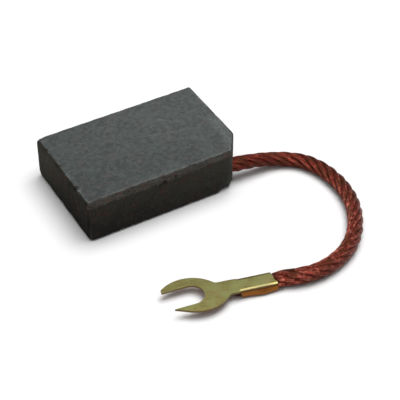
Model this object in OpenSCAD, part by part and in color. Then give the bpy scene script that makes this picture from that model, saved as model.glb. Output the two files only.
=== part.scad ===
// Carbon brush for an electric motor: a pressed carbon block with one corner cut away,
// a copper shunt tamped into a bore in that cut, and a folded brass fork terminal.
// The block lies flat. Its length runs along X, and its running face looks along -X.

/* [Carbon block] */
// Length, from the running face to the back end
block_l = 30; // [22:0.5:45]
// Width
block_w = 20; // [14:1:30]
// Thickness
block_h = 8; // [6:0.5:14]
// Bevel on the front top edge, which keys the brush into its holder one way round
key_bevel = 0.8; // [0.4:0.1:1.5]
// Bevel on the other top and bottom edges of the sides and ends
edge_bevel = 0.3; // [0.25:0.05:0.6]
// Length that the corner cut takes off the front side
cut_l = 3.1; // [2.4:0.1:6]
// Width that the corner cut takes off the back end
cut_w = 4.8; // [4.5:0.1:8]
// Bevel on the top and bottom edges of the cut
cut_bevel = 0.2; // [0.1:0.02:0.2]
// Bevel on the upright edge between the running face and the front side
wear_bevel = 0.6; // [0.2:0.1:1]
// Radius of the upright edge at the uncut corner of the back end
corner_r = 0.8; // [0.4:0.1:1.5]

/* [Bore and tamping] */
// Diameter of the bore that holds the shunt
bore_d = 3.2; // [3:0.1:4]
// Depth of the bore along its axis, to the drill's shoulder
bore_depth = 9; // [7:0.5:12]
// Height of the bore's centre above the base
bore_rise = 3; // [2.6:0.1:4]
// Angle between the bore and the length of the block
bore_lean = 5; // [0:1:15]
// How far the tamped powder stops below the cut face
tamp_recess = 0.3; // [0.1:0.1:0.8]

/* [Shunt] */
// Diameter of the stranded copper shunt at the block
shunt_d = 2.5; // [1.8:0.1:2.6]
// Growth of that diameter towards the crimp, where the strands loosen
shunt_swell = 1.12; // [1:0.02:1.2]
// Length of shunt inside the bore
shunt_seat = 6; // [4:0.5:6.5]

/* [Fork terminal] */
// Thickness of the brass sheet
sheet_t = 0.4; // [0.3:0.05:0.5]
// Width of the slot, for an M4 screw
slot_w = 4; // [3.2:0.1:4.6]
// Length from the mouth of the crimp to the root of the slot
slot_root = 11.4; // [10.4:0.1:12.5]
// Turn of the slot to the crimp
slot_turn = 4.5; // [0:0.5:8]
// Length from the mouth of the crimp to the middle of the head
head_mid = 13; // [12.5:0.1:14]
// Width of the head
head_w = 7.2; // [6.6:0.1:9]
// Radius of the outer side of each prong
prong_r = 5.9; // [5.5:0.1:8]
// Turn of the head to the crimp, which gives its back prong the longer reach
head_turn = 22; // [10:1:25]
// Length from the mouth of the crimp to the blunt tip of the back prong
fork_l = 17.8; // [17:0.1:20]
// Length from the mouth of the crimp to the sharp tip of the front prong
point_l = 16.9; // [16.4:0.1:17.5]
// Radius of the hollow between the neck and each prong
neck_r = 1; // [0.6:0.1:2]
// Width of the neck
neck_w = 3; // [2.4:0.1:3]
// Width of the crimp
crimp_w = 3.2; // [3:0.1:4]
// Height of the crimp
crimp_h = 1.7; // [1.6:0.1:2.4]
// Length of the crimp's folded wings at the seam
wing_l = 5.6; // [4:0.2:6]
// How much longer the wings are at their folds, because their back edges lean
wing_lean = 1.3; // [0:0.1:1.5]
// Outside radius of the folds next to the neck
fold_r = 0.55; // [0.5:0.05:0.7]
// Outside radius of the folds at the mouth, which is pressed rounder
mouth_r = 0.8; // [0.7:0.05:0.8]
// Gap between the two wing edges under the crimp
seam_gap = 0.3; // [0.1:0.1:0.8]

/* [Fits] */
// Clearance of the tamped powder, all round, in the bore and on the shunt
tamp_fit = 0.05; // [0.02:0.01:0.1]
// Clearance between the flattened shunt and the crimp
crimp_fit = 0.05; // [0.02:0.01:0.1]

/* [Hidden] */
$fn = 64;
eps = 0.01;

// Block frame: x to the back end, y to the back side, z up from the base
end_x = block_l / 2;
side_y = block_w / 2;

// The cut plane stands upright through the middle of the cut, and faces cut_angle off +X
cut_angle = -atan2(cut_l, cut_w);
cut_mid = [end_x - cut_l / 2, -side_y + cut_w / 2, bore_rise];

// Bore: its axis points out of the block, and its drill point has the usual 118 degrees
bore_dir = [cos(bore_lean), -sin(bore_lean), 0];
drill_half = 59;

// Shunt: its free route lies on the surface that the block lies on.
// Each point is [x, y, lift], where lift is the gap under the shunt.
shunt_r = shunt_d / 2;
ROUTE = [
    [17.5, -7.9, 1.2], [21, -8.3, 0.4], [23.7, -9.4, 0], [25.8, -11.4, 0], [27.3, -14.9, 0],
    [27.7, -19, 0], [27.1, -23.1, 0], [25.5, -26.9, 0], [23.1, -30.3, 0], [20, -33, 0],
    [16.3, -34.6, 0], [12.6, -35.1, 0], [9.2, -34.5, 0]
];
crimp_at = [5.65, -33.1];
crimp_heading = 166.5;
crimp_dir = [cos(crimp_heading), sin(crimp_heading), 0];
crimp_mouth = [crimp_at.x, crimp_at.y, crimp_h / 2];
shunt_sides = 8;
tail = 0.5;

// Radius of the loose shunt at point i of its route
function loose_r(i) = shunt_r * (1 + (shunt_swell - 1) * i / (len(ROUTE) - 1));

// Each station along the shunt is [centre, [half width, half height]]. It is round as far as
// the crimp, spreads sideways in front of it, and fills it from the mouth to past the wings.
crimp_half = [crimp_w / 2 - sheet_t - crimp_fit, crimp_h / 2 - sheet_t - crimp_fit];
spread_half = [shunt_swell * shunt_r, (shunt_r + crimp_half.y) / 2];
spread_at = crimp_mouth - 1.2 * crimp_dir;
STATIONS = concat(
    [for (s = [shunt_seat, 0]) [cut_mid - s * bore_dir, [shunt_r, shunt_r]]],
    [for (i = [0 : len(ROUTE) - 1])
        let (p = ROUTE[i], r = loose_r(i))
        [[p.x, p.y, p.z + r], [r, r]]],
    [[[spread_at.x, spread_at.y, spread_half.y], spread_half]],
    [for (s = [0, wing_l + tail]) [crimp_mouth + s * crimp_dir, crimp_half]]
);

// Fork, in the frame of the crimp: x from the mouth to the tips, y to the front side.
// Two arcs bound the head, and the centre of each stands off the middle on the far side.
prong_off = prong_r - head_w / 2;

function arc_at(side) = [head_mid, 0] - side * prong_off * [sin(head_turn), cos(head_turn)];

// The round root of the slot, and where the front prong runs out on the slot's front edge
slot_mid = [slot_root + slot_w / 2, 0];
slot_dir = [cos(slot_turn), sin(slot_turn)];
front_tip = slot_mid + (point_l - slot_mid.x) * slot_dir + slot_w / 2 * [-slot_dir.y, slot_dir.x];

// Centre of the hollow that touches the edge of the neck and the outer side of a prong
function hollow_at(side) =
    let (y = side * (neck_w / 2 + neck_r), arc = arc_at(side))
    [arc.x - sqrt(pow(prong_r + neck_r, 2) - pow(y - arc.y, 2)), y];

function unit(v) = v / norm(v);

// Direction of the route at station i, from its two neighbours
function heading(i) = unit(STATIONS[min(i + 1, len(STATIONS) - 1)][0] - STATIONS[max(i - 1, 0)][0]);

// Ring of points round station i, in the plane across the route
function ring(i) =
    let (ahead = heading(i), aside = unit(cross([0, 0, 1], ahead)), above = cross(ahead, aside))
    [for (k = [0 : shunt_sides - 1])
        let (a = 360 * k / shunt_sides)
        STATIONS[i][0] + STATIONS[i][1].x * cos(a) * aside + STATIONS[i][1].y * sin(a) * above];

// Long square bar along X, turned onto its corner: it bevels an edge that runs through its middle
module edge_cutter(bevel) {
    rotate([90, 0, 90])
        linear_extrude(2 * block_l, center = true)
            rotate(45)
                square(bevel * sqrt(2), center = true);
}

// Plan of the block: one corner cut, one rounded, one with a small bevel, and one sharp
module block_plan() {
    difference() {
        polygon([
            [-end_x, side_y],
            [-end_x, -side_y + wear_bevel],
            [-end_x + wear_bevel, -side_y],
            [end_x - cut_l, -side_y],
            [end_x, -side_y + cut_w],
            [end_x, side_y]
        ]);
        translate([end_x - corner_r, side_y - corner_r])
            square(corner_r + 1);
    }
    translate([end_x - corner_r, side_y - corner_r])
        circle(corner_r);
}

// Round hole with a drill point, from the cut face inwards and clear of the face outwards.
// A negative clearance makes the plug that fills it.
module bore_shape(clearance) {
    r = bore_d / 2 + clearance;
    translate(cut_mid)
        rotate([0, 0, -bore_lean])
            rotate([90, 0, 90])
                rotate_extrude()
                    polygon([
                        [0, -bore_depth - r / tan(drill_half)],
                        [r, -bore_depth],
                        [r, cut_w],
                        [0, cut_w]
                    ]);
}

// Everything behind the cut face, moved inwards by depth
module behind_cut(depth) {
    reach = 3 * block_l;
    translate(cut_mid)
        rotate([0, 0, cut_angle])
            translate([-reach - depth, -reach / 2, -reach / 2])
                cube(reach);
}

module carbon_block() {
    color("dimgray")
        difference() {
            linear_extrude(block_h)
                block_plan();
            for (z = [0, block_h]) {
                translate([0, -side_y, z])
                    edge_cutter(z > 0 ? key_bevel : edge_bevel);
                translate([0, side_y, z])
                    edge_cutter(edge_bevel);
                for (x = [-end_x, end_x])
                    translate([x, 0, z])
                        rotate(90)
                            edge_cutter(edge_bevel);
                translate([cut_mid.x, cut_mid.y, z])
                    rotate(cut_angle + 90)
                        edge_cutter(cut_bevel);
            }
            bore_shape(0);
        }
}

module tamped_powder() {
    color("sienna")
        intersection() {
            difference() {
                bore_shape(-tamp_fit);
                // The socket that the end of the shunt fills
                translate(cut_mid - (shunt_seat + tamp_fit) * bore_dir)
                    rotate([0, 0, -bore_lean])
                        rotate([0, 90, 0])
                            cylinder(d = shunt_d + 2 * tamp_fit, h = shunt_seat + cut_w);
            }
            behind_cut(tamp_recess);
        }
}

module shunt() {
    rings = len(STATIONS);
    color("saddlebrown")
        polyhedron(
            points = [for (i = [0 : rings - 1]) each ring(i)],
            faces = concat(
                [[for (k = [0 : shunt_sides - 1]) k]],
                [for (i = [0 : rings - 2], k = [0 : shunt_sides - 1])
                    let (a = i * shunt_sides, n = (k + 1) % shunt_sides)
                    [a + n, a + k, a + shunt_sides + k, a + shunt_sides + n]],
                [[for (k = [shunt_sides - 1 : -1 : 0]) (rings - 1) * shunt_sides + k]]
            )
        );
}

// Rectangle with round corners, centred
module round_rect(w, h, r) {
    square([w - 2 * r, h], center = true);
    square([w, h - 2 * r], center = true);
    for (x = [-1, 1], y = [-1, 1])
        translate([x * (w / 2 - r), y * (h / 2 - r)])
            circle(r);
}

// Fillet between one edge of the neck and the outer side of its prong
module hollow(side) {
    centre = hollow_at(side);
    touch = arc_at(side) + (centre - arc_at(side)) * prong_r / (prong_r + neck_r);
    difference() {
        polygon([[centre.x, 0], centre, touch, [touch.x, 0]]);
        translate(centre)
            circle(neck_r);
    }
    // The outer side of the prong carries on as far as the fillet
    intersection() {
        translate(arc_at(side))
            circle(prong_r, $fn = 128);
        polygon([[touch.x, 0], [touch.x, side * head_w], [head_mid, side * head_w], [head_mid, 0]]);
    }
}

// End of the front prong: straight from the point where a line from its tip touches the arc
module front_point() {
    arc = arc_at(1);
    run = front_tip - arc;
    a = atan2(run.y, run.x) + acos(prong_r / norm(run));
    polygon([front_tip, arc + prong_r * [cos(a), sin(a)], slot_mid + [0, slot_w / 2]]);
}

// Flat shape of the fork: a neck and a head that two arcs bound, with an open slot
module fork_plan() {
    wing_end = wing_l + wing_lean;
    difference() {
        union() {
            intersection_for (side = [-1, 1])
                translate(arc_at(side))
                    circle(prong_r, $fn = 128);
            translate([wing_end - neck_w / 2, -neck_w / 2])
                square([head_mid - wing_end, neck_w]);
            hollow(-1);
            hollow(1);
            front_point();
        }
        translate(slot_mid)
            rotate(slot_turn) {
                circle(d = slot_w);
                translate([0, -slot_w / 2])
                    square([fork_l, slot_w]);
            }
        translate([fork_l, -head_w])
            square([prong_r, 2 * head_w]);
    }
}

// Solid between the round rectangles of the mouth and of the neck, moved inwards by inset
module crimp_body(inset) {
    slice = eps;
    hull()
        for (stop = [[-slice * inset, mouth_r], [wing_l + wing_lean + slice * inset, fold_r]])
            translate([stop[0], 0, crimp_h / 2])
                rotate([90, 0, 90])
                    linear_extrude(slice)
                        round_rect(crimp_w - 2 * inset, crimp_h - 2 * inset, stop[1] - inset, $fn = 32);
}

// The wings wrap under the shunt. Their back edges lean, so that the folds start at the neck.
module crimp() {
    wing_end = wing_l + wing_lean;
    difference() {
        crimp_body(0);
        crimp_body(sheet_t);
        translate([-eps, -seam_gap / 2, -eps])
            cube([wing_end + 1, seam_gap, sheet_t + 2 * eps]);
        rotate([90, 0, 0])
            linear_extrude(2 * crimp_w, center = true)
                polygon([[wing_l, -eps], [wing_end, crimp_h - sheet_t], [wing_end + 1, -eps]]);
    }
}

module fork_terminal() {
    color("darkkhaki")
        translate([crimp_at.x, crimp_at.y, 0])
            rotate([0, 0, crimp_heading]) {
                crimp();
                translate([0, 0, crimp_h - sheet_t])
                    linear_extrude(sheet_t)
                        fork_plan();
            }
}

carbon_block();
tamped_powder();
shunt();
fork_terminal();
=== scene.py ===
"""Carbon brush with a copper shunt and a folded brass fork terminal, dressed on its CAD frame.

Sizes in the classes are millimetres in the frame's own axes: x along the block to its back
end, y to its back side, z up from the surface that it lies on. Meshes are made in metres.
"""
import logging
import math
import random
from dataclasses import dataclass, field
from enum import Enum
from typing import Sequence

import bmesh
import bpy
import numpy as np
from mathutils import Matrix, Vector, noise
from mathutils.geometry import delaunay_2d_cdt


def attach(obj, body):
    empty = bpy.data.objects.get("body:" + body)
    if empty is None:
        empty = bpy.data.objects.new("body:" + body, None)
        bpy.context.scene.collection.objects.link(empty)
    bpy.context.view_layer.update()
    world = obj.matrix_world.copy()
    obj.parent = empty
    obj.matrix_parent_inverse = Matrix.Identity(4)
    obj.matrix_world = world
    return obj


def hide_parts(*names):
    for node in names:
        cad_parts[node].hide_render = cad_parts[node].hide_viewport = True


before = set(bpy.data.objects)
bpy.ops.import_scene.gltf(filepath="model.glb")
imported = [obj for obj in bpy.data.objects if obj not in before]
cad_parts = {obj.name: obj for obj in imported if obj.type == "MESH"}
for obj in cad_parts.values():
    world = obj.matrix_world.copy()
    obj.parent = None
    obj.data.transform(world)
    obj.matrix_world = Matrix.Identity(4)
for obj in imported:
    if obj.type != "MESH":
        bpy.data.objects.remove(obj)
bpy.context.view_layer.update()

Point2 = tuple[float, float]
Point3 = tuple[float, float, float]
Colour = tuple[float, float, float, float]
Socket = bpy.types.NodeSocket
Feed = Socket | float | Colour | Point3

MM = 0.001
BODY = "root"
UP = np.array([0.0, 0.0, 1.0])
# What two pieces share: the block's cut corner, the bore's mouth in it and the crimp's mouth
CORNER_CUT: Point2 = (3.1, 4.8)
BORE_MOUTH: Point3 = (13.45, -7.6, 3.0)
BORE_TURN = -5.0
CRIMP_MOUTH: Point2 = (5.65, -33.1)
CRIMP_TURN = 166.5
# Turn of a strand's bundles in each millimetre, and millimetres in one unit of the UV map
UNLAY = 0.75
WIRE_RUN = 10.0
log = logging.getLogger("carbon_brush")


class Slot(Enum):
    """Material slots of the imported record."""

    CARBON = "carbon"
    POWDER = "copper_powder"
    COPPER = "copper"
    BRASS = "brass"


class Node(Enum):
    """Solids of the CAD frame."""

    BLOCK = "carbon_block"
    POWDER = "tamped_powder"
    SHUNT = "shunt"
    TERMINAL = "fork_terminal"


class Side(Enum):
    """The two long sides of the fork, as the sign of its own y."""

    FRONT = 1
    BACK = -1


def unit(v: np.ndarray) -> np.ndarray:
    """Give a vector its unit length."""
    return v / np.linalg.norm(v)


def unit_rows(rows: np.ndarray) -> np.ndarray:
    """Give each row of an array its unit length."""
    return rows / np.linalg.norm(rows, axis=1)[:, None]


def distances(line: np.ndarray) -> np.ndarray:
    """Distance of each point of a line from its start, along it."""
    return np.concatenate([[0], np.cumsum(np.linalg.norm(np.diff(line, axis=0), axis=1))])


def heading(degrees: float) -> np.ndarray:
    """Level unit vector at an angle from +x."""
    return np.array([math.cos(math.radians(degrees)), math.sin(math.radians(degrees)), 0.0])


def smooth(x: float, low: float, high: float) -> float:
    """Smooth step from 0 at low to 1 at high."""
    t = min(1.0, max(0.0, (x - low) / (high - low)))
    return t * t * (3 - 2 * t)


def fractal(p: Sequence[float], size: float) -> float:
    """Fractal noise within about -1 and 1, at a place, with its largest lumps of a size."""
    return noise.fractal(Vector(p) / size, 1.0, 2.0, 3)


def bearing(centre: Point2, point: Point2) -> float:
    """Angle in degrees of the line from a centre to a point."""
    return math.degrees(math.atan2(point[1] - centre[1], point[0] - centre[0]))


def arc(centre: Point2, radius: float, start: float, stop: float, step: float) -> list[Point2]:
    """Points along an arc.

    Args:
        centre: Middle of the arc.
        radius: Its radius.
        start: First angle in degrees.
        stop: Last angle in degrees, above start for an anticlockwise arc.
        step: Longest distance between points.

    Returns:
        The points, with both ends.
    """
    count = max(2, math.ceil(abs(math.radians(stop - start)) * radius / step) + 1)
    return [
        (centre[0] + radius * math.cos(a), centre[1] + radius * math.sin(a))
        for a in np.radians(np.linspace(start, stop, count))
    ]


def tube(rings: int, around: int, first: int = 0) -> list[Sequence[int]]:
    """Faces between rings of points.

    Args:
        rings: Number of rings.
        around: Points in each ring.
        first: Number of the first point.

    Returns:
        The faces, ring by ring.
    """
    return [
        (low + j, low + (j + 1) % around, low + around + (j + 1) % around, low + around + j)
        for low in range(first, first + (rings - 1) * around, around)
        for j in range(around)
    ]


def new_object(name: str, data: bpy.types.ID) -> bpy.types.Object:
    """Put a new object in the scene.

    Args:
        name: Its name.
        data: Its mesh, camera or light.

    Returns:
        The object.
    """
    made = bpy.data.objects.new(name, data)
    bpy.context.scene.collection.objects.link(made)
    return made


def add_mesh(name: str, points: np.ndarray, faces: list[Sequence[int]]) -> bpy.types.Object:
    """Make a smooth-shaded mesh object.

    Args:
        name: Its name.
        points: One row for each vertex, in millimetres.
        faces: Vertex numbers of each face.

    Returns:
        The object.
    """
    mesh = bpy.data.meshes.new(name)
    mesh.from_pydata((np.asarray(points) * MM).tolist(), [], [list(f) for f in faces])
    mesh.validate()
    mesh.shade_smooth()
    return new_object(name, mesh)


def face_outwards(piece: bpy.types.Object) -> None:
    """Turn every face of a closed mesh outwards.

    Args:
        piece: The object to mend.
    """
    shell = bmesh.new()
    shell.from_mesh(piece.data)
    bmesh.ops.recalc_face_normals(shell, faces=shell.faces)
    shell.to_mesh(piece.data)
    shell.free()


def add_attribute(piece: bpy.types.Object, name: str, values: Sequence[float]) -> None:
    """Store one number for each vertex of a piece."""
    attribute = piece.data.attributes.new(name, "FLOAT", "POINT")
    attribute.data.foreach_set("value", np.asarray(values, np.float32))


class Shading:
    """Builds the node tree of one material around a Principled shader."""

    def __init__(self, name: str) -> None:
        """Start an empty material.

        Args:
            name: Its name.
        """
        self.material = bpy.data.materials.new(name)
        self.material.use_nodes = True
        self.tree = self.material.node_tree
        self.tree.nodes.clear()
        self.place = self.node("TexCoord").outputs["Object"]

    def node(self, kind: str, feeds: dict[int | str, Feed] | None = None,
             **settings: str) -> bpy.types.Node:
        """Add a node.

        Args:
            kind: Its type, without the prefix.
            feeds: Links and constants of its sockets, by number or name.
            settings: Its properties.

        Returns:
            The node.
        """
        node = self.tree.nodes.new("ShaderNode" + kind)
        for name, setting in settings.items():
            setattr(node, name, setting)
        for key, value in (feeds or {}).items():
            if isinstance(value, Socket):
                self.tree.links.new(value, node.inputs[key])
            else:
                node.inputs[key].default_value = value
        return node

    def math(self, kind: str, a: Feed, b: Feed) -> Socket:
        """Combine two numbers."""
        return self.node("Math", {0: a, 1: b}, operation=kind).outputs[0]

    def total(self, first: Feed, *others: Feed) -> Socket:
        """Sum of some numbers.

        Args:
            first: The first of them.
            others: The rest.

        Returns:
            The value socket.
        """
        for other in others:
            first = self.math("ADD", first, other)
        return first

    def noise(self, size: float, detail: float = 4.0, rough: float = 0.55,
              bend: float = 0.0) -> Socket:
        """Noise about 0.5, with lumps of a size in millimetres."""
        feeds = {0: self.place, "Scale": 1 / (size * MM), "Detail": detail}
        return self.node("TexNoise", {**feeds, "Roughness": rough, "Distortion": bend}).outputs[0]

    def drag(self, scale: Point3, rough: float, turn: float = 0.0) -> Socket:
        """Noise that is drawn out into lines.

        Args:
            scale: Lumps in a metre on each axis.
            rough: Strength of the finer octaves.
            turn: Turn of the axes about z in degrees.

        Returns:
            The value socket, about 0.5.
        """
        size = tuple(1 / s for s in scale)
        feeds = {0: self.place, "Rotation": (0, 0, math.radians(turn)), "Scale": size}
        place = self.node("Mapping", feeds, vector_type="TEXTURE").outputs[0]
        feeds = {0: place, "Scale": 1.0, "Detail": 4.0, "Roughness": rough}
        return self.node("TexNoise", feeds).outputs[0]

    def cells(self, size: float) -> Socket:
        """Distance to the middle of the nearest Voronoi cell of a size in millimetres."""
        return self.node("TexVoronoi", {0: self.place, "Scale": 1 / (size * MM)}).outputs[0]

    def span(self, value: Feed, low: float, high: float, a: float = 0.0, b: float = 1.0) -> Socket:
        """Map low and high to a and b, and hold the value between them."""
        feeds = {"Value": value, "From Min": low, "From Max": high, "To Min": a, "To Max": b}
        return self.node("MapRange", feeds, interpolation_type="SMOOTHSTEP").outputs[0]

    def blend(self, share: Feed, a: Feed, b: Feed) -> Socket:
        """Mix two colours, with a share of b."""
        return self.node("Mix", {0: share, 6: a, 7: b}, data_type="RGBA").outputs[2]

    def axis(self, index: int, place: Socket | None = None) -> Socket:
        """One axis of a vector, or of the object's own coordinates."""
        return self.node("SeparateXYZ", {0: place or self.place}).outputs[index]

    def stored(self, name: str) -> Socket:
        """Number that the mesh holds at each vertex."""
        return self.node("Attribute", attribute_name=name).outputs["Fac"]

    def bump(self, height: Socket, depth: float, under: Socket | None = None) -> Socket:
        """Bump over another, if there is one, whose height of 1 stands for depth millimetres."""
        feeds = {"Strength": 1.0, "Distance": depth * MM, "Height": height}
        return self.node("Bump", feeds | ({"Normal": under} if under else {})).outputs[0]

    def finish(self, **sockets: Feed) -> bpy.types.Material:
        """Add the shader.

        Args:
            sockets: Links and constants of its sockets by name, with _ for a space.

        Returns:
            The material.
        """
        feeds = {name.replace("_", " "): value for name, value in sockets.items()}
        shader = self.node("BsdfPrincipled", feeds)
        self.node("OutputMaterial", {0: shader.outputs[0]})
        return self.material


@dataclass(frozen=True)
class GroundCarbon:
    """Finish of the block's ground top and bottom: matt grey graphite with a fine grain."""

    dark: Colour = (0.024, 0.029, 0.028, 1)
    pale: Colour = (0.086, 0.095, 0.092, 1)
    warm: Colour = (0.076, 0.064, 0.060, 1)
    green: Colour = (0.050, 0.070, 0.060, 1)
    mark: Colour = (0.220, 0.238, 0.245, 1)
    grain: float = 0.9
    fine: float = 0.22
    patch: float = 5.0

    def make(self) -> bpy.types.Material:
        """Build the material.

        Returns:
            The material.
        """
        s = Shading("ground_carbon")
        grain = s.noise(self.grain, 6, 0.75)
        fine = s.noise(self.fine, 3, 0.7)
        patch = s.noise(self.patch, 3, 0.5)
        # Painted shade and light: the top darkens towards its front and towards the running face,
        # and lightens towards the back end
        tone = s.total(
            s.span(grain, 0.32, 0.68, -0.06, 0.62), s.span(fine, 0.25, 0.75, 0, 0.14),
            s.span(patch, 0.3, 0.7, 0, 0.12), s.span(s.axis(1), -0.008, 0.003, -0.22, 0),
            s.span(s.axis(0), -0.015, 0.012, -0.16, 0.08),
        )
        colour = s.blend(tone, self.dark, self.pale)
        colour = s.blend(s.span(s.noise(1.1, 3, 0.6), 0.5, 0.68, 0, 0.4), colour, self.warm)
        colour = s.blend(s.span(s.noise(2.4, 3, 0.6), 0.46, 0.62, 0, 0.28), colour, self.green)
        colour = s.blend(s.span(s.cells(0.7), 0.0, 0.16, 0.30, 0), colour, self.mark)
        # Scuffed and rubbed edges are lighter, partly as wear and partly as painted highlight
        speckle = s.span(s.noise(0.5, 4, 0.7), 0.40, 0.60, 0.2, 1.4)
        colour = s.blend(s.math("MULTIPLY", s.stored("scuff_and_highlight"), speckle), colour, self.mark)
        rough = s.span(patch, 0.3, 0.7, 0.62, 0.5)
        relief = s.bump(grain, 0.05, s.bump(fine, 0.03))
        return s.finish(Base_Color=colour, Roughness=rough, Normal=relief, Specular_IOR_Level=0.35)


@dataclass(frozen=True)
class ShadedPressedCarbon:
    """Finish of the block's sides: pressed carbon darkened to near-black by painted shade, with
    smears of copper dust.
    """

    dark: Colour = (0.0050, 0.0046, 0.0034, 1)
    pale: Colour = (0.035, 0.034, 0.025, 1)
    rust: Colour = (0.038, 0.014, 0.010, 1)
    pit_shade: Colour = (0.003, 0.0026, 0.002, 1)
    grey: Colour = (0.085, 0.083, 0.076, 1)
    grain: float = 0.40
    patch: float = 2.5
    # The running face, in metres along x
    running: Point2 = (-0.0149, -0.0147)

    def make(self) -> bpy.types.Material:
        """Build the material.

        Returns:
            The material.
        """
        s = Shading("shaded_pressed_carbon")
        grain = s.noise(self.grain, 6, 0.7)
        patch = s.noise(self.patch, 4, 0.6)
        tone = s.total(s.span(grain, 0.32, 0.70, -0.14, 0.34), s.span(patch, 0.3, 0.7, -0.08, 0.16))
        # Painted shade: the sides are darker low down, and towards the running face
        rise = s.span(s.axis(2), 0.0, 0.008, 0.0, 0.42)
        along = s.span(s.axis(0), -0.015, 0.012, -0.14, 0.20)
        # Painted light and shade: the running face is darker overall, and lighter grey towards its
        # back
        running = s.span(s.axis(0), *self.running, 1, 0)
        running_light = s.math("MULTIPLY", s.span(s.axis(1), -0.004, 0.006, 0.0, 0.55), running)
        face = s.total(running_light, s.math("MULTIPLY", running, -0.12))
        colour = s.blend(s.total(tone, s.total(s.total(rise, along), face)), self.dark, self.pale)
        smear = s.span(s.noise(1.6, 5, 0.7), 0.50, 0.66)
        near = s.span(s.axis(2), 0.0005, 0.006, 0.25, 0.70)
        colour = s.blend(s.math("MULTIPLY", smear, near), colour, self.rust)
        # Painted shade: the pits and the small nicks are near-black
        hole = s.span(s.cells(0.6), 0.0, 0.2, 0.8, 0)
        colour = s.blend(s.math("MAXIMUM", hole, s.stored("hollow")), colour, self.pit_shade)
        # Scuffed and rubbed edges are lighter grey, partly as wear and partly as painted highlight
        colour = s.blend(s.math("MULTIPLY", s.stored("scuff_and_highlight"), 0.5), colour, self.grey)
        relief = s.bump(grain, 0.06, s.bump(hole, -0.05))
        sheen = s.span(s.axis(0), *self.running, 0.05, 0.14)
        return s.finish(Base_Color=colour, Roughness=0.72, Normal=relief, Specular_IOR_Level=sheen)


@dataclass(frozen=True)
class SawnBevel:
    """Finish of the keying bevel: rough brown-grey carbon with drag marks along it."""

    dark: Colour = (0.012, 0.010, 0.008, 1)
    pale: Colour = (0.066, 0.062, 0.054, 1)
    rust: Colour = (0.060, 0.030, 0.023, 1)
    pit_shade: Colour = (0.004, 0.0035, 0.003, 1)
    drag: Point3 = (500, 2600, 2600)
    grain: float = 0.45

    def make(self) -> bpy.types.Material:
        """Build the material.

        Returns:
            The material.
        """
        s = Shading("sawn_bevel")
        drag = s.drag(self.drag, 0.65)
        grain = s.noise(self.grain, 5, 0.7)
        tone = s.total(s.span(drag, 0.3, 0.7, 0, 0.5), s.span(grain, 0.3, 0.7, 0, 0.4))
        colour = s.blend(tone, self.dark, self.pale)
        colour = s.blend(s.span(s.noise(1.8, 4, 0.6), 0.48, 0.64, 0, 0.6), colour, self.rust)
        # Painted shade: the small nicks are near-black
        colour = s.blend(s.stored("hollow"), colour, self.pit_shade)
        relief = s.bump(drag, 0.06, s.bump(grain, 0.05))
        return s.finish(Base_Color=colour, Roughness=0.75, Normal=relief, Specular_IOR_Level=0.2)


@dataclass(frozen=True)
class CopperPowder:
    """Finish of the tamped powder: dull crumbs of copper and graphite."""

    dark: Colour = (0.022, 0.013, 0.009, 1)
    pale: Colour = (0.20, 0.085, 0.045, 1)
    crumb: float = 0.16

    def make(self) -> bpy.types.Material:
        """Build the material.

        Returns:
            The material.
        """
        s = Shading("copper_powder")
        crumbs = s.cells(self.crumb)
        tone = s.math("MULTIPLY", s.span(crumbs, 0.15, 0.7, 1, 0), s.span(s.noise(0.6), 0.35, 0.65))
        colour = s.blend(tone, self.dark, self.pale)
        relief = s.bump(crumbs, -0.06)
        return s.finish(Base_Color=colour, Metallic=0.35, Roughness=0.62, Normal=relief)


@dataclass(frozen=True)
class CopperStrand:
    """Finish of the shunt: fine bare copper wires, tarnished red-brown, bright where rubbed."""

    # Colour of the painted shade in the rope's crevices
    deep: Colour = (0.030, 0.0040, 0.0028, 1)
    body: Colour = (0.205, 0.028, 0.016, 1)
    bright: Colour = (0.66, 0.205, 0.140, 1)
    brown: Colour = (0.12, 0.036, 0.014, 1)
    wires: int = 28
    turn_back: float = UNLAY / math.tau * WIRE_RUN

    def make(self) -> bpy.types.Material:
        """Build the material.

        Returns:
            The material.
        """
        s = Shading("copper_strand")
        along = s.node("UVMap").outputs[0]
        turn = s.total(s.axis(0, along), s.math("MULTIPLY", s.axis(1, along), self.turn_back))
        wire = s.math("SINE", s.math("MULTIPLY", turn, math.tau * self.wires), 0.0)
        streak = s.noise(0.55, 4, 0.65)
        tarnish = s.noise(1.5, 4, 0.6)
        # The wires nearest the block are duller
        lively = s.span(s.axis(1, along), 2.0, 3.4, 0.30, 1.0)
        crest = s.math("MULTIPLY", s.span(streak, 0.46, 0.72), lively)
        colour = s.blend(crest, self.body, self.bright)
        colour = s.blend(s.span(tarnish, 0.42, 0.64, 0, 0.85), colour, self.brown)
        # Painted shade: the gaps between wires, the valleys between bundles and the depths between
        # strands darken
        colour = s.blend(s.span(wire, -1, 0.2, 0.4, 0), colour, self.deep)
        colour = s.blend(s.span(s.stored("groove"), 0.1, 0.8, 0, 0.55), colour, self.deep)
        colour = s.blend(s.span(s.stored("depth"), 0.08, 0.42, 0, 0.72), colour, self.deep)
        rough = s.span(tarnish, 0.35, 0.7, 0.31, 0.52)
        relief = s.bump(wire, 0.018, s.bump(streak, 0.04))
        return s.finish(Base_Color=colour, Metallic=0.85, Roughness=rough, Normal=relief)


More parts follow.
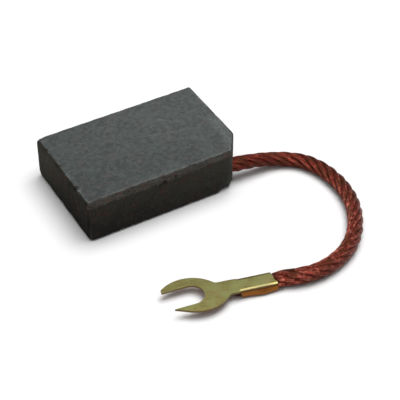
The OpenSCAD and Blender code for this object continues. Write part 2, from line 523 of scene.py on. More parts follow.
@dataclass(frozen=True)
class RolledBrass:
    """Finish of the terminal: yellow-green rolled brass with faint drag lines and fingermarks."""

    body: Colour = (0.260, 0.230, 0.082, 1)
    green: Colour = (0.222, 0.224, 0.088, 1)
    warm: Colour = (0.270, 0.200, 0.082, 1)
    speck: Colour = (0.16, 0.13, 0.07, 1)
    edge: Colour = (0.22, 0.080, 0.018, 1)
    cut: Colour = (0.13, 0.090, 0.040, 1)
    fold: Colour = (0.185, 0.147, 0.076, 1)
    lines: Point3 = (250, 6000, 6000)
    patch: float = 2.4
    speck_size: float = 0.35
    # Metres above the floor between which the crimp turns orange-brown, as tarnish and painted
    # shade
    edge_top: Point2 = (0.00130, 0.00170)

    def make(self) -> bpy.types.Material:
        """Build the material.

        Returns:
            The material.
        """
        s = Shading("rolled_brass")
        lines = s.drag(self.lines, 0.6, CRIMP_TURN)
        patch = s.noise(self.patch, 3, 0.55)
        speck = s.noise(self.speck_size, 4, 0.6)
        colour = s.blend(s.span(patch, 0.35, 0.65), self.body, self.green)
        warm = s.span(s.noise(3.6, 3, 0.5, bend=0.4), 0.5, 0.72, 0, 0.6)
        colour = s.blend(warm, colour, self.warm)
        colour = s.blend(s.span(speck, 0.55, 0.75, 0, 0.10), colour, self.speck)
        # The folds are dulled, except at the mouth
        dulled = s.stored("dulled")
        colour = s.blend(dulled, colour, self.fold)
        # Tarnish and painted shade: the cut edges and the walls of the crimp turn orange-brown, and
        # the cut edges of the head darker
        colour = s.blend(s.span(s.axis(2), *self.edge_top, 1, 0), colour, self.edge)
        colour = s.blend(s.span(s.stored("sheared"), 0.3, 0.9), colour, self.cut)
        rough = s.total(
            s.span(patch, 0.3, 0.7, 0.24, 0.32), s.span(lines, 0.3, 0.7, 0, 0.06),
            s.span(dulled, 0, 1, 0, 0.12),
        )
        relief = s.bump(lines, 0.006, s.bump(speck, 0.005))
        return s.finish(Base_Color=colour, Metallic=1.0, Roughness=rough, Normal=relief)


@dataclass(frozen=True)
class PaleFloor:
    """Finish of the plain floor."""

    colour: Colour = (0.86, 0.86, 0.86, 1)
    faint: Colour = (0.84, 0.84, 0.84, 1)
    patch: float = 60.0

    def make(self) -> bpy.types.Material:
        """Build the material.

        Returns:
            The material.
        """
        s = Shading("pale_floor")
        tone = s.blend(s.noise(self.patch, 2), self.colour, self.faint)
        return s.finish(Base_Color=tone, Roughness=0.9, Specular_IOR_Level=0.1)


@dataclass
class Viewpoint:
    """Camera that looks down on the brush from its front left."""

    place: Point3 = (-78.14, -155.25, 148.51)
    target: Point3 = (5.75, -9.75, 0.0)
    lens: float = 119.1
    sensor: float = 36.0
    nearest: float = 0.01

    def build(self) -> None:
        """Add the camera and make it the scene's own."""
        data = bpy.data.cameras.new("view_camera")
        data.sensor_width = self.sensor
        data.lens = self.lens
        data.clip_start = self.nearest
        camera = new_object("view_camera", data)
        camera.location = Vector(self.place) * MM
        gaze = Vector(self.target) - Vector(self.place)
        camera.rotation_euler = gaze.to_track_quat("-Z", "Y").to_euler()
        bpy.context.scene.camera = camera


@dataclass
class Shunt:
    """Copper rope of six strands round a core, from the bore to the crimp."""

    diameter: float = 2.5
    swell: float = 1.12
    seat: float = 6.0
    cut_mid: Point3 = BORE_MOUTH
    route: tuple[Point3, ...] = (
        (17.5, -7.9, 1.2), (21, -8.3, 0.4), (23.7, -9.4, 0), (25.8, -11.4, 0),
        (27.3, -14.9, 0), (27.7, -19, 0), (27.1, -23.1, 0), (25.5, -26.9, 0),
        (23.1, -30.3, 0), (20, -33, 0), (16.3, -34.6, 0), (12.6, -35.1, 0), (9.2, -34.5, 0),
    )
    crimp_mid: float = 0.85
    # In front of the mouth: how far, half width and height of the middle
    bulge: tuple[Point3, ...] = ((1.8, 1.50, 1.12), (0.9, 1.58, 1.05), (0.35, 1.58, 0.94))
    # Behind the mouth: how far, drop of the middle, half width and half height
    tail: tuple[tuple[float, float, float, float], ...] = (
        (0.5, 0.0, 1.15, 0.40), (5.4, 0.0, 1.15, 0.40),
        (6.0, 0.14, 1.35, 0.52), (6.7, 0.14, 1.40, 0.55),
    )
    lay: float = 14.0
    strands: int = 6
    bundles: int = 7
    unlay: float = UNLAY
    # A strand's distance from the middle and its radius, for a rope of radius 1
    reach: float = 0.652
    thick: float = 0.365
    core_thick: float = 0.36
    press: Point2 = (0.93, 1.06)
    # At the bore the strands spread: how far, how far out of it, and over what length
    flare: Point3 = (0.09, 0.8, 2.2)
    # How far a strand strays in its turn, its distance and its radius, and over what length
    stray: tuple[Point2, ...] = ((0.10, 4), (0.03, 1.5), (0.018, 2.2))
    # A strand's radius between two bundles, what a bundle adds, and its roughness
    lobes: Point3 = (0.91, 0.11, 0.02)
    # The strands are thicker near the crimp: how much, and from where to where before it
    swollen: float = 0.02
    loosening: Point2 = (12.5, 7.5)
    ragged: float = 0.5
    section: int = 36
    step: float = 0.2
    curve_steps: int = 60
    path_every: int = 8
    seed: int = 7
    # Found by build, in metres
    length: float = 0.0
    path: list[Point3] = field(default_factory=list)

    def stations(self) -> list[tuple[np.ndarray, Point2]]:
        """Shape of the rope along its route, as in the CAD source.

        Returns:
            Its centre and its half width and height at each station.
        """
        radius = self.diameter / 2
        ahead = heading(CRIMP_TURN)
        start = np.array(self.cut_mid)
        mouth = np.array([*CRIMP_MOUTH, self.crimp_mid])
        stops = [(p, (radius, radius)) for p in (start - self.seat * heading(BORE_TURN), start)]
        for i, (x, y, lift) in enumerate(self.route):
            r = radius * (1 + (self.swell - 1) * i / (len(self.route) - 1))
            stops.append((np.array([x, y, lift + r]), (r, r)))
        # The strands spread and bulge in front of the mouth
        for back, wide, high in self.bulge:
            near = mouth - back * ahead
            stops.append((np.array([near[0], near[1], max(high, self.crimp_mid)]), (wide, high)))
        # Their ends spread again below the neck
        for along, drop, wide, high in self.tail:
            stops.append((mouth + along * ahead - drop * UP, (wide, high)))
        return stops

    def centreline(self) -> tuple[np.ndarray, np.ndarray]:
        """Resample the stations along a smooth curve.

        Returns:
            The centres at even steps, and the half width and half height at each.
        """
        stops = self.stations()
        points = [p for p, _ in stops]
        points = [2 * points[0] - points[1], *points, 2 * points[-1] - points[-2]]
        dense, halves = [], []
        for i in range(1, len(points) - 2):
            before, here, there, after = points[i - 1:i + 3]
            chord = np.linalg.norm(there - here)
            enter = chord * unit(there - before)
            leave = chord * unit(after - here)
            low, high = np.array(stops[i - 1][1]), np.array(stops[i][1])
            for t in np.linspace(0, 1, self.curve_steps, endpoint=False):
                start, stop = 2 * t**3 - 3 * t**2 + 1, 3 * t**2 - 2 * t**3
                swing, check = t**3 - 2 * t**2 + t, t**3 - t**2
                dense.append(start * here + swing * enter + stop * there + check * leave)
                halves.append(low + (high - low) * smooth(t, 0, 1))
        dense.append(points[-2])
        halves.append(np.array(stops[-1][1]))
        line, sizes = np.array(dense), np.array(halves)
        run = distances(line)
        even = np.linspace(0, run[-1], round(run[-1] / self.step) + 1)
        centres = np.stack([np.interp(even, run, line[:, k]) for k in range(3)], 1)
        return centres, np.stack([np.interp(even, run, sizes[:, k]) for k in range(2)], 1)

    def ring(self, k: int, s: float, total: float, wander: float) -> list[tuple[float, ...]]:
        """Section of a strand, in a rope of radius 1.

        Args:
            k: Number of the strand. The core comes last.
            s: Length along the rope.
            total: Length of the whole rope.
            wander: Where the strand's noise starts.

        Returns:
            For each point its x and y, its depth in the rope, and that of the groove it is in.
        """

        def drift(way: int, lane: float) -> float:
            """How far the strand strays in one way."""
            return self.stray[way][0] * noise.noise(Vector((s / self.stray[way][1], wander, lane)))

        core = k == self.strands
        rise, middle, width = self.flare
        flare = rise * math.exp(-((s - self.seat - middle) / width) ** 2)
        flare *= smooth(s, self.seat, self.seat + middle)
        loose = smooth(s, total - self.loosening[0], total - self.loosening[1])
        phase = math.tau * (s / self.lay + k / self.strands) + drift(0, 0)
        reach = 0 if core else self.reach + flare + drift(1, 5)
        size = self.core_thick if core else self.thick + drift(2, 9) + self.swollen * loose
        # The outer side of a strand is pressed to the rope's round
        deep, wide = (1, 1) if core else self.press
        least, bulge, rough = self.lobes
        ring = []
        for j in range(self.section):
            angle = math.tau * j / self.section
            # The bundles of a strand twist against the strands of the rope
            lobe = abs(math.sin(self.bundles * (angle + s * self.unlay + wander) / 2))
            place = (math.cos(angle) * 2, math.sin(angle) * 2 + wander, s / 0.5)
            r = size * (least + bulge * lobe**0.7 + rough * noise.noise(Vector(place)))
            a = reach + r * math.cos(angle) * deep
            b = r * math.sin(angle) * wide
            x = a * math.cos(phase) - b * math.sin(phase)
            y = a * math.sin(phase) + b * math.cos(phase)
            depth = min(1.0, max(0.0, 1.0 - math.hypot(a, b)))
            ring.append((x, y, depth, 0.0 if core else (1 - lobe) ** 2))
        return ring

    def build(self) -> bpy.types.Object:
        """Make the rope.

        Returns:
            The rope's object.
        """
        centres, halves = self.centreline()
        run = distances(centres)
        ahead = unit_rows(np.gradient(centres, axis=0))
        aside = unit_rows(np.cross(UP, ahead))
        above = np.cross(ahead, aside)
        points, depths, grooves, faces, turns = [], [], [], [], []
        rng = random.Random(self.seed)
        total, n = run[-1], self.section
        for k in range(self.strands + 1):
            first = len(points)
            wander = rng.uniform(0, 100)
            cut = rng.uniform(0, self.ragged)
            rings = [i for i in range(len(run)) if run[i] <= total - cut]
            for i in rings:
                for x, y, depth, groove in self.ring(k, run[i], total, wander):
                    wide, high = halves[i]
                    points.append(centres[i] + x * wide * aside[i] + y * high * above[i])
                    depths.append(depth)
                    grooves.append(groove)
            faces += tube(len(rings), n, first)
            for low, high in zip(run[rings[:-1]] / WIRE_RUN, run[rings[1:]] / WIRE_RUN):
                for u, v in ((j / n, (j + 1) / n) for j in range(n)):
                    turns.append([(u, low), (v, low), (v, high), (u, high)])
            last = first + (len(rings) - 1) * n
            faces += [list(range(first + n - 1, first - 1, -1)), list(range(last, last + n))]
            turns += [[(0.5, 0.5)] * n] * 2
        rope = add_mesh("copper_shunt", np.array(points), faces)
        layer = rope.data.uv_layers.new(name="wires")
        for polygon, corners in zip(rope.data.polygons, turns):
            for loop, corner in zip(polygon.loop_indices, corners):
                layer.data[loop].uv = corner
        # The depth and the groove set the painted shade in the rope's crevices
        add_attribute(rope, "depth", depths)
        add_attribute(rope, "groove", grooves)
        rope.data.materials.append(CopperStrand().make())
        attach(rope, BODY)
        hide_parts(Node.SHUNT.value)
        self.path = [tuple(p * MM) for p in centres[::self.path_every]] + [tuple(centres[-1] * MM)]
        self.length = total * MM
        return rope


@dataclass
class CarbonBlock:
    """Pressed carbon block with a cut corner, worn edges, pits and scuffs."""

    half: Point2 = (15.0, 10.0)
    height: float = 8.0
    cut: Point2 = CORNER_CUT
    cell_depth: int = 8
    cell_share: float = 0.70
    edge_bevel: float = 0.3
    key_bevel: float = 0.8
    wear_bevel: float = 0.6
    # Softness of the edges: everywhere, how far it varies, and what sliding adds
    edge_soft: Point3 = (0.070, 0.02, 0.09)
    # Sliding: how far from the running face, and between which y it grows
    slid: Point3 = (1.2, -6, 8)
    most_worn: float = 0.4
    corner_worn: float = 0.27
    corner_soft: float = 0.06
    corner_uneven: float = 0.3
    # How far from an edge the rim reaches, and how far the wear leans over the edge
    rim: float = 0.45
    lean: float = 0.6
    skin: float = 1.0
    # Chips of the edges: their size, how rare they are, and their depth low down and higher up
    chips: tuple[float, float, float, float] = (1.1, 0.12, 0.22, 0.12)
    low_edge: float = 1.5
    # Grain of the surface: its size, its depth, and what the edges have lost
    grain: Point3 = (0.7, 0.010, 0.02)
    # Rubbed edges, lighter as wear and as painted highlight: size of the patches, how bright they
    # are, and how far it varies
    edge_rubs_and_highlights: Point3 = (2.5, 0.25, 0.9)
    # The bevel's finish: most z and least -y of a normal, and how its lower end wavers
    bevel_lean: Point2 = (0.87, 0.4)
    bevel_end: Point3 = (0.15, 0.45, 1.6)
    level: float = 0.85
    sharp: float = 32.0
    # Each nick is a place, a radius and a depth
    nicks: tuple[tuple[float, float, float, float, float], ...] = (
        (-14.8, -5.0, 8.0, 0.6, 0.20),
        (1.1, -10.0, 7.3, 0.45, 0.18),
        (-1.0, -10.0, 7.0, 0.5, 0.16),
        (-1.9, -10.0, 6.8, 0.35, 0.10),
        (-9.0, -10.0, 0.0, 0.6, 0.14),
        (4.0, -10.0, 0.0, 0.6, 0.14),
        (8.2, -10.0, 0.0, 0.5, 0.12),
        (-15.0, 2.0, 0.0, 0.5, 0.12),
        (10.5, 10.0, 0.0, 0.7, 0.18),
        (-6.0, 10.0, 0.0, 0.8, 0.2),
        (15.0, 4.0, 0.0, 0.6, 0.16),
        (11.4, -10.0, 0.0, 2.2, 0.50),
    )
    # Each scuff runs between two places, with a width and a strength. All are wear except the last,
    # a painted highlight along the top edge of the cut corner
    scuffs: tuple[tuple[Point3, Point3, float, float], ...] = (
        ((0.6, 1.4, 8.0), (11.5, -1.5, 8.0), 0.12, 0.15),
        ((5.6, 4.1, 8.0), (7.0, 2.7, 8.0), 0.13, 0.34),
        ((7.6, 2.6, 8.0), (8.6, 1.6, 8.0), 0.12, 0.16),
        ((-7.8, -5.0, 8.0), (-7.1, -5.8, 8.0), 0.16, 0.22),
        ((13.8, -0.5, 8.0), (13.4, -7.0, 8.0), 1.0, 0.20),
        ((14.75, -5.4, 8.0), (12.0, -9.5, 8.0), 0.28, 0.55),
    )

    def planes(self) -> list[tuple[np.ndarray, float]]:
        """Planes of the main faces.

        Returns:
            The outward normal of each, and its distance from the origin.
        """
        x, y = self.half
        slant = unit(np.array([self.cut[1], -self.cut[0], 0.0]))
        middle = np.array([x - self.cut[0] / 2, -y + self.cut[1] / 2, 0.0])
        across, along = np.array([0.0, 1.0, 0.0]), np.array([1.0, 0.0, 0.0])
        return [
            (UP, self.height), (-UP, 0.0), (-across, y), (across, y), (-along, x), (along, x),
            (slant, float(slant @ middle)),
        ]

    def wear_round(self, points: np.ndarray, gaps: np.ndarray) -> np.ndarray:
        """How far the wear of the edges moves each point.

        Args:
            points: Points of the block's surface.
            gaps: Depth of each point below each main face.

        Returns:
            One move for each point.
        """
        planes = self.planes()
        normals = [n for n, _ in planes]
        depths = [gaps[:, k] for k in range(len(planes))]
        top, front, running = 0, 2, 4
        pairs = [(level, side, self.edge_bevel) for level in (0, 1) for side in range(2, 7)]
        pairs += [(running, front, self.wear_bevel)]
        for a, b, width in pairs:
            width = self.key_bevel if (a, b) == (top, front) else width
            normals.append((planes[a][0] + planes[b][0]) / math.sqrt(2))
            depths.append((gaps[:, a] + gaps[:, b] - width) / math.sqrt(2))
        # The brush has slid on its running face, which is worn most at the back
        reach, low, high = self.slid
        worn = np.exp(-((gaps[:, running] / reach) ** 2))
        worn *= np.clip((points[:, 1] - low) / (high - low), 0, 1)
        least, vary, more = self.edge_soft
        soft = least + vary * np.sin(2.1 * points[:, 0] + 1.3 * points[:, 1]) + more * worn
        share = np.exp(-np.stack(depths, 1) / soft[:, None])
        total = share.sum(1)
        slope = (share / total[:, None]) @ np.stack(normals)
        over = soft * np.log(total)
        return -slope * (np.clip(over, 0, self.most_worn) / np.sum(slope**2, 1))[:, None]

    def remesh(self) -> bpy.types.Object:
        """Copy the CAD solid and give it small even faces that keep its edges sharp.

        Returns:
            The copy.
        """
        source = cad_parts[Node.BLOCK.value]
        mesh = source.data.copy()
        shell = bmesh.new()
        shell.from_mesh(mesh)
        bmesh.ops.remove_doubles(shell, verts=shell.verts, dist=1e-6)
        shell.to_mesh(mesh)
        shell.free()
        block = new_object("worn_block", mesh)
        cutter = block.modifiers.new("cells", "REMESH")
        cutter.mode = "SHARP"
        cutter.octree_depth = self.cell_depth
        cutter.scale = self.cell_share
        cutter.sharpness = 1.0
        cutter.use_remove_disconnected = False
        graph = bpy.context.evaluated_depsgraph_get()
        fine = bpy.data.meshes.new_from_object(block.evaluated_get(graph))
        block.modifiers.clear()
        block.data = fine
        block.data.materials.clear()
        return block

    def build(self) -> bpy.types.Object:
        """Make the worn block.

        Returns:
            The block's object.
        """
        block = self.remesh()
        count = len(block.data.vertices)
        flat = np.zeros(count * 3)
        block.data.vertices.foreach_get("co", flat)
        points = flat.reshape(-1, 3) / MM
        planes = self.planes()
        gaps = np.stack([d - points @ n for n, d in planes], 1)
        order = np.argsort(gaps, 1)
        edge = np.take_along_axis(gaps, order[:, 1:2], 1)[:, 0]
        normals = np.stack([n for n, _ in planes])
        turned = normals[order[:, 1]] * np.exp(-((edge / self.lean) ** 2))[:, None]
        inward = unit_rows(-(normals[order[:, 0]] + turned))
        # Only the outer skin wears, not the wall of the bore
        skin = gaps.min(1) < self.skin
        sink, scuff_and_highlight, hollow = np.zeros(count), np.zeros(count), np.zeros(count)
        chip_size, rare, deep, shallow = self.chips
        grain_size, grain, lost = self.grain
        rub_size, bright, vary = self.edge_rubs_and_highlights
        for i in np.flatnonzero(skin):
            p = points[i]
            rim = math.exp(-((edge[i] / self.rim) ** 2))
            chip = max(0.0, fractal(p, chip_size) - rare) * rim
            chip *= deep if p[2] < self.low_edge else shallow
            sink[i] = grain * fractal(p, grain_size) + grain + chip + lost * rim
            scuff_and_highlight[i] = rim * max(0.0, min(1.0, bright + vary * fractal(p + 40, rub_size)))
        points += np.where(skin[:, None], self.wear_round(points, gaps), 0)
        # Every corner is knocked round
        near = np.take_along_axis(gaps, order[:, :3], 1)
        uneven = 1 + self.corner_uneven * np.sin(7 * points[:, 0] + points[:, 1])
        past = self.corner_worn * uneven - near.sum(1) / math.sqrt(3)
        knock = np.where(skin, self.corner_soft * np.logaddexp(0, past / self.corner_soft), 0)
        points += unit_rows(-normals[order[:, :3]].sum(1)) * knock[:, None]
        for x, y, z, radius, depth in self.nicks:
            away = np.linalg.norm(points - np.array([x, y, z]), axis=1)
            sink += depth * np.clip(1 - (away / radius) ** 2, 0, 1)
            # Small nicks are marked for painted shade in their hollows
            if radius < 1:
                hollow = np.maximum(hollow, np.clip(1.3 - 1.3 * away / radius, 0, 1))
        for a, b, width, strength in self.scuffs:
            start, run = np.array(a), np.array(b) - np.array(a)
            t = np.clip((points - start) @ run / (run @ run), 0, 1)
            away = np.linalg.norm(points - start - t[:, None] * run, axis=1)
            scuff_and_highlight = np.maximum(scuff_and_highlight, strength * np.exp(-(away / width) ** 2))
        sink[~skin] = 0
        points += inward * sink[:, None]
        block.data.vertices.foreach_set("co", (points * MM).ravel())
        block.data.update()
        add_attribute(block, "scuff_and_highlight", scuff_and_highlight)
        add_attribute(block, "hollow", hollow)
        for finish in (GroundCarbon(), ShadedPressedCarbon(), SawnBevel()):
            block.data.materials.append(finish.make())
        drop, waver, size = self.bevel_end
        for polygon in block.data.polygons:
            up, front = polygon.normal.z, -polygon.normal.y
            centre = np.array(polygon.center) / MM
            low = self.height - self.key_bevel - drop + waver * fractal(centre, size)
            bevel = up < self.bevel_lean[0] and front > self.bevel_lean[1] and centre[2] > low
            # Painted shade: the sides take the near-black shaded copy of the carbon, and the top
            # and bottom the lighter one
            polygon.material_index = 2 if bevel else 0 if abs(up) > self.level else 1
        block.data.shade_smooth()
        block.data.set_sharp_from_angle(angle=math.radians(self.sharp))
        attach(block, BODY)
        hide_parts(Node.BLOCK.value)
        return block


@dataclass
class TampedPowder:
    """Plug of crumbly powder between the bore and the shunt."""

    cut_mid: Point3 = BORE_MOUTH
    outer: float = 1.55
    inner: float = 1.2
    depth: float = 9.0
    socket: float = 6.05
    recess: float = 0.3
    climb: float = 0.22
    crumb: float = 0.35
    crumb_height: float = 0.10
    drill_point: float = 118.0
    hub: float = 0.001
    face_rings: int = 7
    around: int = 96

    def mouth(self, spoke: np.ndarray, radius: float) -> float:
        """Place along the bore of the powder's rough face.

        Args:
            spoke: Where on the face, from the middle of the bore.
            radius: Length of the spoke.

        Returns:
            How far it is towards the cut corner.
        """
        cut_normal = heading(-math.degrees(math.atan2(*CORNER_CUT)))
        level = (-self.recess - spoke @ cut_normal) / (heading(BORE_TURN) @ cut_normal)
        climb = self.climb * smooth(radius, self.outer, self.inner)
        rough = self.crumb_height * fractal(np.array(self.cut_mid) + spoke, self.crumb)
        return level + climb + rough

    def build(self) -> bpy.types.Object:
        """Make the plug as a turned solid with a rough mouth.

        Returns:
            The plug's object.
        """
        out = heading(BORE_TURN)
        aside = np.cross(UP, out)
        tip = -self.depth - self.outer / math.tan(math.radians(self.drill_point / 2))
        # Each ring of points is a radius and a place along the bore, or none on the rough face
        rings: list[tuple[float, float | None]] = [
            (self.hub, -self.socket), (self.inner, -self.socket),
            *[(r, None) for r in np.linspace(self.inner, self.outer, self.face_rings)],
            (self.outer, -self.depth), (self.hub, tip),
        ]
        points = []
        for radius, along in rings:
            for j in range(self.around):
                angle = math.tau * j / self.around
                spoke = radius * (math.cos(angle) * aside + math.sin(angle) * UP)
                level = self.mouth(spoke, radius) if along is None else along
                points.append(np.array(self.cut_mid) + level * out + spoke)
        faces = tube(len(rings), self.around)
        faces += [list(range(self.around)), list(range(len(points) - self.around, len(points)))]
        plug = add_mesh("powder_plug", np.array(points), faces)
        face_outwards(plug)
        plug.data.materials.append(CopperPowder().make())
        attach(plug, BODY)
        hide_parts(Node.POWDER.value)
        return plug


@dataclass
class ForkTerminal:
    """Fork terminal, bent from one blank of brass sheet as it is made.

    The blank's own frame has x from the mouth of the crimp to the tips, and s across it,
    along the sheet. Folding the wings turns s into y and z.
    """

    place: Point2 = CRIMP_MOUTH
    turn: float = CRIMP_TURN
    sheet: float = 0.4
    height: float = 1.7
    crimp_half: float = 1.6
    fold: float = 0.55
    neck_half: float = 1.5
    # Half width behind the wings, on the back and on the front
    waist: Point2 = (1.42, 1.55)
    neck_fillet: float = 1.0
    wing_seam: float = 5.35
    wing_fold: float = 5.85
    # Half widths where the wings run out
    shoulder: Point2 = (2.7, 1.75)
    seam_half: float = 0.15
    # How far the pressed crimp bulges, where it does most, and over what length
    belly: Point3 = (0.26, 2.0, 1.7)
    mouth_lip: float = 0.3
    mouth_slant: float = 0.45
    slot_half: float = 2.0
    slot_root: float = 11.4
    slot_turn: float = 4.5
    head_mid: float = 13.0
    head_half: float = 3.6
    prong: float = 5.9
    head_turn: float = 22.0
    back_tip: float = 17.8
    front_tip: float = 16.9
    wing_corner: float = 0.25
    edge_step: float = 0.12
    same_point: float = 1e-4
    grid: Point2 = (0.2, 0.1)
    sharp: float = 28.0
    # The dulled folds: how far below the top, over what height, and how dull at the mouth
    dulling: Point3 = (0.10, 0.12, 0.3)
    dull_from: float = 1.3
    top_face: float = 0.004
    # Each row of the cut edge is how far in from the outline, and how far off the mid-sheet
    rim: tuple[Point2, ...] = (
        (0.025, 0.2), (0.007, 0.19), (0.0, 0.17), (0.0, -0.17), (0.007, -0.19), (0.025, -0.2)
    )

    def arc_centre(self, side: Side) -> Point2:
        """Centre of the arc that bounds a prong."""
        off, a = self.prong - self.head_half, math.radians(self.head_turn)
        return (self.head_mid - side.value * off * math.sin(a), -side.value * off * math.cos(a))

    def half_blank(self) -> float:
        """Width of half the blank across the crimp.

        Returns:
            The width along the middle of the sheet.
        """
        bend = self.fold - self.sheet / 2
        flat = self.crimp_half - self.fold
        side = self.height - 2 * self.fold
        return flat + math.pi * bend + side + self.crimp_half - self.fold - self.seam_half

    def wing(self, side: Side) -> list[Point2]:
        """Outline of one wing.

        Args:
            side: Side of the fork.

        Returns:
            Its points, from the middle of the mouth to the neck.
        """
        wide, sign, corner = self.half_blank(), side.value, self.wing_corner
        flat = self.crimp_half - self.fold
        neck = self.waist[0 if side is Side.BACK else 1]
        lip = -self.mouth_lip + (self.mouth_slant if side is Side.BACK else 0)
        return [
            (-self.mouth_lip + self.mouth_slant / 2, 0.0),
            (lip, sign * flat),
            (lip, sign * (wide - corner)),
            (lip + 0.07, sign * (wide - 0.07)),
            (lip + corner, sign * wide),
            (self.wing_seam - corner, sign * wide),
            (self.wing_seam - 0.05, sign * (wide - 0.06)),
            (self.wing_seam + 0.02, sign * (wide - corner)),
            (self.wing_seam + 0.1, sign * self.shoulder[0]),
            (self.wing_fold, sign * self.shoulder[1]),
            (self.wing_fold + 0.03, sign * (neck + 0.05)),
            (self.wing_fold + 0.1, sign * neck),
            (self.wing_fold + 1.1, sign * self.neck_half),
        ]

    def flank(self, side: Side, leave: float) -> list[Point2]:
        """Outline of one side, from the middle of the mouth to the end of the prong's arc.

        Args:
            side: Side of the fork.
            leave: Angle in degrees at which the arc ends.

        Returns:
            Its points.
        """
        sign, centre, step = side.value, self.arc_centre(side), self.edge_step
        # The hollow beside the neck touches the prong's arc
        y = sign * (self.neck_half + self.neck_fillet)
        x = centre[0] - math.sqrt((self.prong + self.neck_fillet) ** 2 - (y - centre[1]) ** 2)
        share = self.prong / (self.prong + self.neck_fillet)
        touch = (centre[0] + (x - centre[0]) * share, centre[1] + (y - centre[1]) * share)
        return [
            *self.wing(side),
            *arc((x, y), self.neck_fillet, -90 * sign, bearing((x, y), touch), step),
            *arc(centre, self.prong, bearing(centre, touch), leave, step)[1:],
        ]

    def outline(self) -> list[Point2]:
        """Whole outline of the blank.

        Returns:
            Its points, from the middle of the mouth round the front side first.
        """
        step, turn = self.edge_step, self.slot_turn
        along = heading(turn)[:2]
        across = np.array([-along[1], along[0]])
        root = np.array([self.slot_root + self.slot_half, 0.0])
        tip = root + (self.front_tip - root[0]) * along + self.slot_half * across
        run = tip - np.array(self.arc_centre(Side.FRONT))
        leave = bearing((0, 0), tuple(run))
        leave += math.degrees(math.acos(self.prong / np.linalg.norm(run)))
        # The back prong ends blunt
        edge, back, end = root - self.slot_half * across, self.arc_centre(Side.BACK), self.back_tip
        blunt = (end, edge[1] + (end - edge[0]) * math.tan(math.radians(turn)))
        heel = (end, back[1] - math.sqrt(self.prong**2 - (end - back[0]) ** 2))
        slot = arc(tuple(root), self.slot_half, turn + 90, turn + 270, step)
        loop = [*self.flank(Side.FRONT, leave), tuple(tip), *slot, tuple(blunt)]
        loop += self.flank(Side.BACK, bearing(back, heel))[:0:-1]
        result: list[Point2] = []
        for a, b in zip(loop, loop[1:] + loop[:1]):
            gap = math.dist(a, b)
            parts = 0 if gap < self.same_point else math.ceil(gap / step)
            x, y = b[0] - a[0], b[1] - a[1]
            result += [(a[0] + x * k / parts, a[1] + y * k / parts) for k in range(parts)]
        return result

    @staticmethod
    def inset(loop: np.ndarray, depth: float) -> np.ndarray:
        """Move each point of an outline inwards.

        Args:
            loop: Points of the outline.
            depth: How far to move them.

        Returns:
            The moved points. Those that a sharp corner would push across the other side
            all stand on the last good point before it.
        """
        if depth == 0:
            return loop
        before, after = np.roll(loop, 1, 0), np.roll(loop, -1, 0)
        a, b = unit_rows(loop - before), unit_rows(after - loop)
        area = 0.5 * np.sum(loop[:, 0] * after[:, 1] - after[:, 0] * loop[:, 1])
        left = unit_rows(a + b)
        inward = np.stack([-left[:, 1], left[:, 0]], 1) * math.copysign(1, area)
        spread = np.clip(np.sum(left * a, 1), 0.55, 1)
        moved = loop + inward * (depth / spread)[:, None]
        edge = after - loop
        share = np.einsum("ijk,jk->ij", moved[:, None] - loop[None], edge) / np.sum(edge**2, 1)
        nearest = loop[None] + np.clip(share, 0, 1)[:, :, None] * edge[None]
        gap = np.linalg.norm(moved[:, None] - nearest, axis=2).min(1)
        good = np.flatnonzero(gap > 0.96 * depth)
        last = np.searchsorted(good, np.arange(len(loop)), side="right") - 1
        return moved[good[last]]

    def bend(self, x: float, s: float, off: float) -> Point3:
        """Fold one point of the sheet.

        Args:
            x: Place along the blank.
            s: Place across the blank.
            off: Height above the middle of the sheet.

        Returns:
            The point in the terminal's own frame, with z up.
        """
        radius = self.fold - self.sheet / 2
        top = self.height - self.sheet / 2
        # The folds run out at the neck, and the head stays flat
        beyond = x - self.wing_fold - 0.2
        flat = self.crimp_half - self.fold
        flat += 0.5 * smooth(beyond, -0.35, 0.05) + 5 * max(0.0, beyond)
        sign = 1 if s >= 0 else -1
        t = abs(s) - flat
        side = self.height - 2 * self.fold
        quarter = math.pi / 2 * radius
        if t <= 0:
            y, z = abs(s), top + off
        elif t <= quarter:
            a = t / radius
            y, z = flat + (radius + off) * math.sin(a), top - radius + (radius + off) * math.cos(a)
        elif t <= quarter + side:
            y, z = flat + radius + off, top - radius - (t - quarter)
        elif t <= 2 * quarter + side:
            a = (t - quarter - side) / radius
            y = flat + (radius + off) * math.cos(a)
            z = top - radius - side - (radius + off) * math.sin(a)
        else:
            y, z = flat - (t - 2 * quarter - side), self.sheet / 2 - off
        # The pressed crimp bulges out low down, most of all behind its mouth
        most, middle, length = self.belly
        belly = most * math.exp(-(((x - middle) / length) ** 2))
        belly *= smooth(top - z, 0.1, 1.0) * smooth(y, 0.5, 1.3)
        return (x, sign * (y + belly), z)

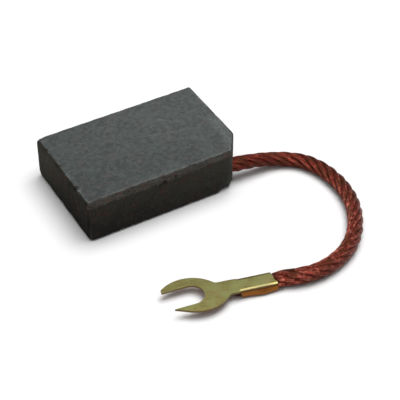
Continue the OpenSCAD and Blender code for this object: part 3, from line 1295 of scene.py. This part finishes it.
    def build(self) -> bpy.types.Object:
        """Make the folded terminal.

        Returns:
            The terminal's object.
        """
        outline = np.array(self.outline())
        skin = self.inset(outline, self.rim[0][0])
        inside = self.inset(outline, self.rim[0][0] + 0.05)
        low, high = inside.min(0), inside.max(0)
        cloud = [
            (x, s)
            for x in np.arange(low[0], high[0], self.grid[0])
            for s in np.arange(low[1], high[1], self.grid[1])
            if self.holds(inside, x, s)
        ]
        count = len(outline)
        ring = [(k, (k + 1) % count) for k in range(count)]
        result = delaunay_2d_cdt([Vector(p) for p in skin.tolist() + cloud], ring, [], 1, 1e-6)
        plan, triangles, origins = result[0], result[2], result[3]
        index_of = {o: k for k, origin in enumerate(origins) for o in origin}
        points: list[Point3] = []
        faces: list[Sequence[int]] = []
        for off in (self.rim[0][1], self.rim[-1][1]):
            base = len(points)
            points += [self.bend(v[0], v[1], off) for v in plan]
            faces += [[base + k for k in (t if off > 0 else t[::-1])] for t in triangles]
        size = len(plan)
        sheared = [0.0] * len(points)
        rows = [[index_of[k] for k in range(count)]]
        for depth, off in self.rim[1:-1]:
            base = len(points)
            moved = [tuple(p) for p in self.inset(outline, depth)]
            own = {p: base + k for k, p in enumerate(dict.fromkeys(moved))}
            points += [self.bend(p[0], p[1], off) for p in own]
            sheared += [1.0 if p[0] > self.wing_fold else 0.0 for p in own]
            rows.append([own[p] for p in moved])
        rows.append([size + index_of[k] for k in range(count)])
        for upper, lower in zip(rows, rows[1:]):
            for k in range(count):
                after = (k + 1) % count
                corners = dict.fromkeys((upper[k], lower[k], lower[after], upper[after]))
                if len(corners) > 2:
                    faces.append(tuple(corners))
        along, across = heading(self.turn), heading(self.turn + 90)
        origin = np.array([*self.place, 0.0])
        placed = [origin + x * along + y * across + z * UP for x, y, z in points]
        fork = add_mesh("brass_fork", np.array(placed), faces)
        face_outwards(fork)
        # The sheared edges of the head take tarnish and painted shade
        add_attribute(fork, "sheared", sheared)
        rise = self.height - np.array([p[2] for p in points])
        middle, spread, least = self.dulling
        grown = [least + (1 - least) * smooth(p[0], 0.0, self.dull_from) for p in points]
        dulled = np.exp(-(((rise - middle) / spread) ** 2)) * grown
        add_attribute(fork, "dulled", np.where(rise < self.top_face, 0, dulled))
        fork.data.set_sharp_from_angle(angle=math.radians(self.sharp))
        fork.data.materials.append(RolledBrass().make())
        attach(fork, BODY)
        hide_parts(Node.TERMINAL.value)
        return fork

    @staticmethod
    def holds(loop: np.ndarray, x: float, y: float) -> bool:
        """Test whether a point lies inside a closed outline.

        Args:
            loop: Points of the outline.
            x: First coordinate of the point.
            y: Second coordinate of the point.

        Returns:
            Whether it does.
        """
        a, b = loop, np.roll(loop, -1, 0)
        spans = (a[:, 1] > y) != (b[:, 1] > y)
        a, b = a[spans], b[spans]
        hits = a[:, 0] + (y - a[:, 1]) * (b[:, 0] - a[:, 0]) / (b[:, 1] - a[:, 1])
        return bool(np.count_nonzero(hits > x) % 2)


@dataclass
class Studio:
    """Plain pale floor under soft light from above and behind."""

    floor_half: float = 3.0
    key_place: Point3 = (200.0, 60.0, 720.0)
    key_size: float = 0.60
    key_power: float = 4.6
    sky_low: float = 0.24
    sky_high: float = 1.25
    # Heights on the sky, as the sine of the elevation, between which it brightens
    sky_span: Point2 = (0.66, 0.97)

    def build(self) -> bpy.types.Object:
        """Add the floor, the lights and the sky.

        Returns:
            The floor's object.
        """
        reach = self.floor_half / MM
        corners = reach * np.array([(-1, -1, 0), (1, -1, 0), (1, 1, 0), (-1, 1, 0)])
        floor = add_mesh("floor", corners, [(0, 1, 2, 3)])
        floor.data.materials.append(PaleFloor().make())
        light = bpy.data.lights.new("key_light", "AREA")
        light.shape = "DISK"
        light.size = self.key_size
        light.energy = self.key_power
        key = new_object("key_light", light)
        key.location = Vector(self.key_place) * MM
        key.rotation_euler = (-key.location).to_track_quat("-Z", "Y").to_euler()
        world = bpy.data.worlds.new("studio")
        world.use_nodes = True
        tree = world.node_tree
        backdrop = tree.nodes["Background"]
        backdrop.inputs["Color"].default_value = (1, 1, 1, 1)
        ray, split, ramp = (
            tree.nodes.new("ShaderNode" + kind) for kind in ("TexCoord", "SeparateXYZ", "MapRange")
        )
        ramp.interpolation_type = "SMOOTHSTEP"
        ends = (*self.sky_span, self.sky_low, self.sky_high)
        for name, value in zip(("From Min", "From Max", "To Min", "To Max"), ends):
            ramp.inputs[name].default_value = value
        tree.links.new(ray.outputs["Generated"], split.inputs[0])
        tree.links.new(split.outputs[2], ramp.inputs["Value"])
        tree.links.new(ramp.outputs[0], backdrop.inputs["Strength"])
        bpy.context.scene.world = world
        bpy.context.scene.view_settings.view_transform = "Standard"
        return floor


def main() -> None:
    """Build the pieces in order."""
    logging.basicConfig(level=logging.INFO, format="%(message)s")
    Viewpoint().build()
    shunt = Shunt()
    rope = shunt.build()
    log.info("%s: %d faces, %.1f mm long", rope.name, len(rope.data.polygons), shunt.length / MM)
    fork = ForkTerminal().build()
    log.info("%s: %d faces", fork.name, len(fork.data.polygons))
    for part in (CarbonBlock(), TampedPowder(), Studio()):
        piece = part.build()
        log.info("%s: %d faces", piece.name, len(piece.data.polygons))


if __name__ == "__main__":
    main()
